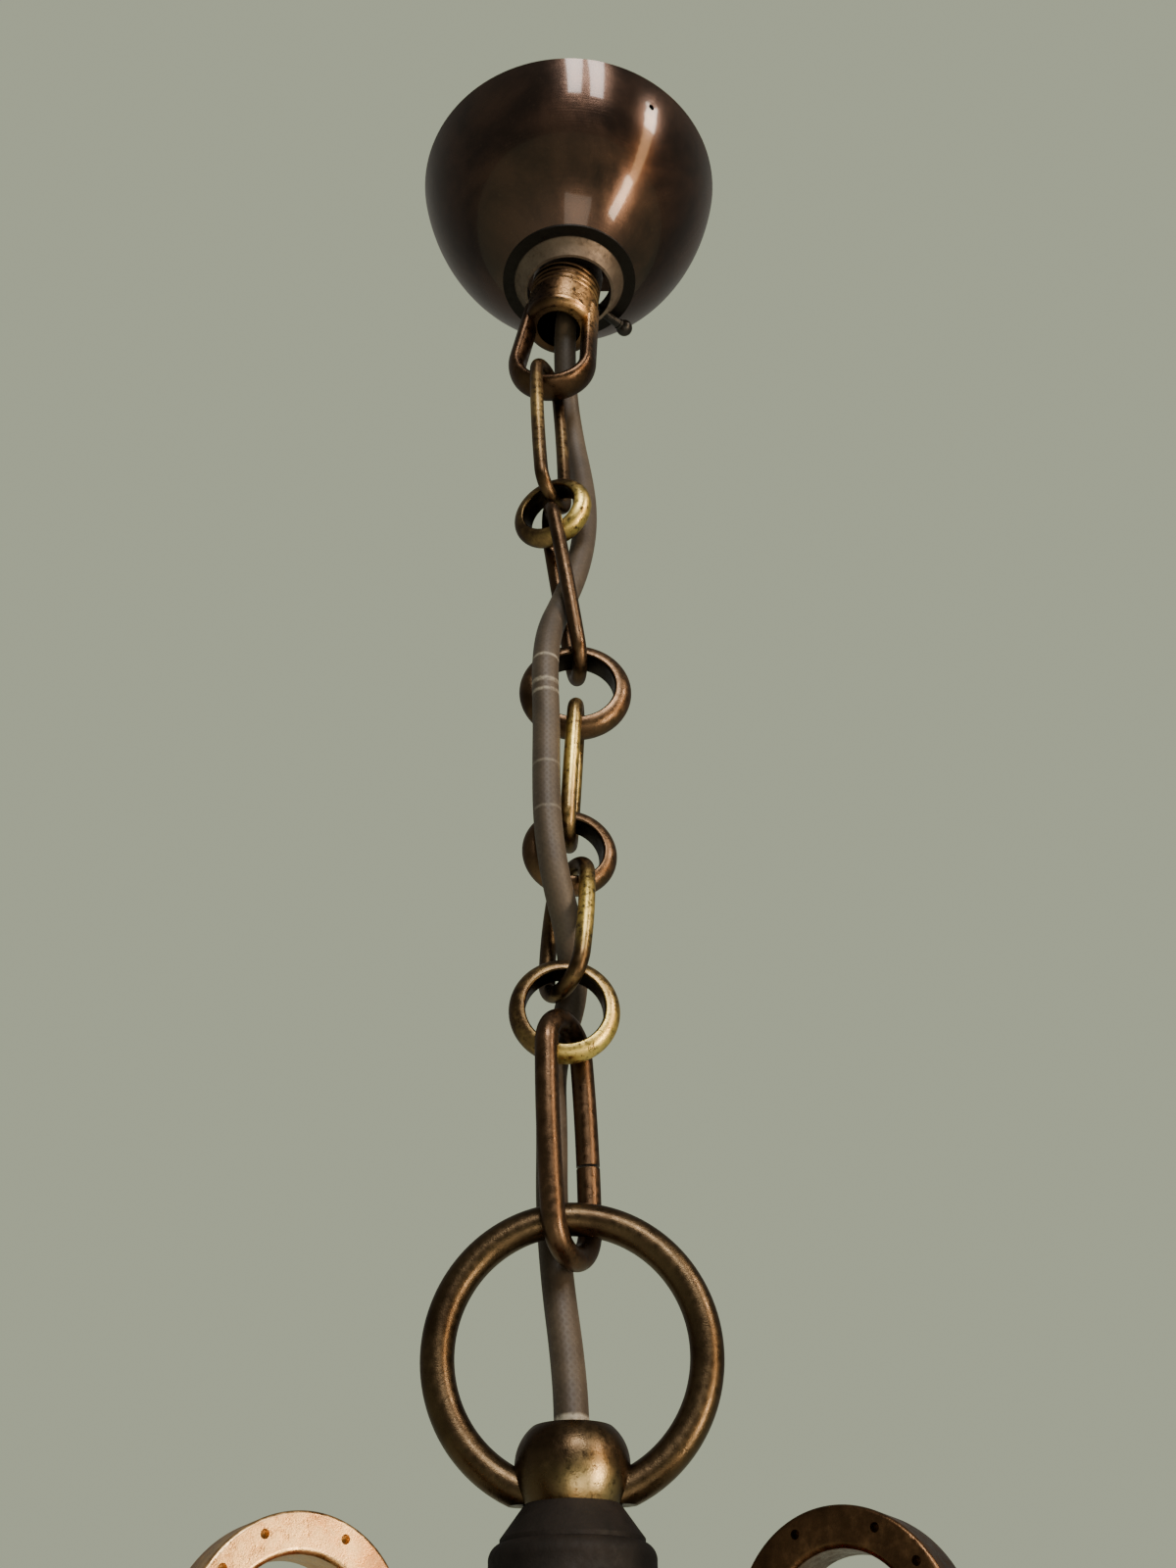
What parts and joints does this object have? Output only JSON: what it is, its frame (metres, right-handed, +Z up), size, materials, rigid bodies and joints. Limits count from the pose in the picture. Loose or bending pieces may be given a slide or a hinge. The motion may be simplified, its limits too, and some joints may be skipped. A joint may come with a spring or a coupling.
{
  "type": "hanging sanctuary lamp",
  "caption": "Hanging sanctuary lamp: bell canopy on a ceiling plate, loop, chain of wire links and turned rings laced with a flex, and a ringed gallery that carries a ruby glass.",
  "frame": {"origin": "on the ceiling, at the middle of the canopy's rim and of the ceiling plate's two screw holes", "axes": "+Z up, +X right as seen from the front, -Y towards the viewer"},
  "size_m": [0.1334, 0.1415, 0.593],
  "materials": {
    "brass": "aged bronze-brown lacquer worn to yellow brass",
    "bronze": "very dark brown bronze, satin to glossy",
    "steel": "zinc-plated, dull",
    "black_steel": "black oxide",
    "black_metal": "matte brown-black",
    "flex": "old braided flex, grey-brown",
    "core_plastic": "smooth",
    "terminal_plastic": "matte",
    "terminal_brass": "plain",
    "porcelain": "glazed porcelain",
    "black_plastic": "moulded, dark",
    "ruby": "clear ruby",
    "bulb": "clear",
    "aluminium": "plain"
  },
  "bodies": {
    "mount": {"ceiling_plate": "steel", "stem_tube": "brass", "stem_nut": "steel", "terminal_block": "terminal_plastic", "terminal_screws": "terminal_brass", "core_wires": "core_plastic", "loop_fitting": "brass", "flex": "flex"},
    "canopy": {"canopy_cup": "bronze", "collar": "bronze"},
    "clamp": {"clamp_screw": "black_steel"},
    "link_1": {"link_1": "brass"},
    "ring_1": {"ring_1": "brass"},
    "link_2": {"link_2": "brass"},
    "ring_2": {"ring_2": "brass"},
    "link_3": {"link_3": "brass"},
    "ring_3": {"ring_3": "brass"},
    "link_4": {"link_4": "brass"},
    "ring_4": {"ring_4": "brass"},
    "link_5": {"link_5": "brass"},
    "lamp": {"top_ring": "brass", "crown_cap": "black_metal", "hub": "brass", "central_tube": "brass", "hub_nut": "brass", "bracket_1": "brass", "bracket_2": "brass", "bracket_3": "brass", "arm_screws": "steel", "foot_screws": "steel", "gallery_ring": "brass", "glass_screws": "steel", "glass_neck": "ruby", "glass_belly": "ruby", "glass_foot": "ruby", "holder_shell": "brass", "holder_insert": "porcelain", "holder_contacts": "terminal_brass", "shade_ring": "black_plastic", "bulb_cap": "aluminium", "bulb_glass": "bulb", "flex_tail": "flex"}
  },
  "joints": [
    {"name": "canopy_slide", "type": "slide", "parent": "mount", "child": "canopy", "axis": [0, 0, 1], "range_m": [-0.007, 0]},
    {"name": "clamp_turn", "type": "hinge", "parent": "canopy", "child": "clamp", "pos_m": [0.01828, 0.01646, -0.04932], "axis": [0.7431, 0.6691, 0], "continuous": true},
    {"name": "link_1_swing", "type": "hinge", "parent": "mount", "child": "link_1", "pos_m": [-0.0067, 0, -0.0982], "axis": [-0.8988, 0.4384, 0], "range_deg": [-12, 12]},
    {"name": "ring_1_swing", "type": "hinge", "parent": "link_1", "child": "ring_1", "pos_m": [-0.00458, -0.00118, -0.14814], "axis": [0.4384, 0.8988, 0], "range_deg": [-12, 12]},
    {"name": "link_2_swing", "type": "hinge", "parent": "ring_1", "child": "link_2", "pos_m": [-0.0049, -0.001, -0.16085], "axis": [0.9945, 0.1045, 0], "range_deg": [-12, 12]},
    {"name": "ring_2_swing", "type": "hinge", "parent": "link_2", "child": "ring_2", "pos_m": [0.00231, 0.00272, -0.20927], "axis": [0.1045, -0.9945, 0], "range_deg": [-12, 12], "deforming": ["flex"]},
    {"name": "link_3_swing", "type": "hinge", "parent": "ring_2", "child": "link_3", "pos_m": [0.0013, 0.0022, -0.22781], "axis": [-0.9994, 0.0349, 0], "range_deg": [-12, 12]},
    {"name": "ring_3_swing", "type": "hinge", "parent": "link_3", "child": "ring_3", "pos_m": [-0.00065, 0.00244, -0.26256], "axis": [0.0349, 0.9994, 0], "range_deg": [-12, 12]},
    {"name": "link_4_swing", "type": "hinge", "parent": "ring_3", "child": "link_4", "pos_m": [-0.0003, 0.0024, -0.27716], "axis": [0.829, 0.5592, 0], "range_deg": [-12, 12]},
    {"name": "ring_4_swing", "type": "hinge", "parent": "link_4", "child": "ring_4", "pos_m": [-0.0019, -0.004, -0.30643], "axis": [0.5592, -0.829, 0], "range_deg": [-4, 12]},
    {"name": "link_5_swing", "type": "hinge", "parent": "ring_4", "child": "link_5", "pos_m": [-0.0015, -0.0024, -0.32205], "axis": [-0.8829, 0.4695, 0], "range_deg": [-12, 12]},
    {"name": "lamp_swing", "type": "hinge", "parent": "link_5", "child": "lamp", "pos_m": [0.00034, 0.00054, -0.36612], "axis": [0.4695, 0.8829, 0], "range_deg": [-12, 12]}
  ]
}
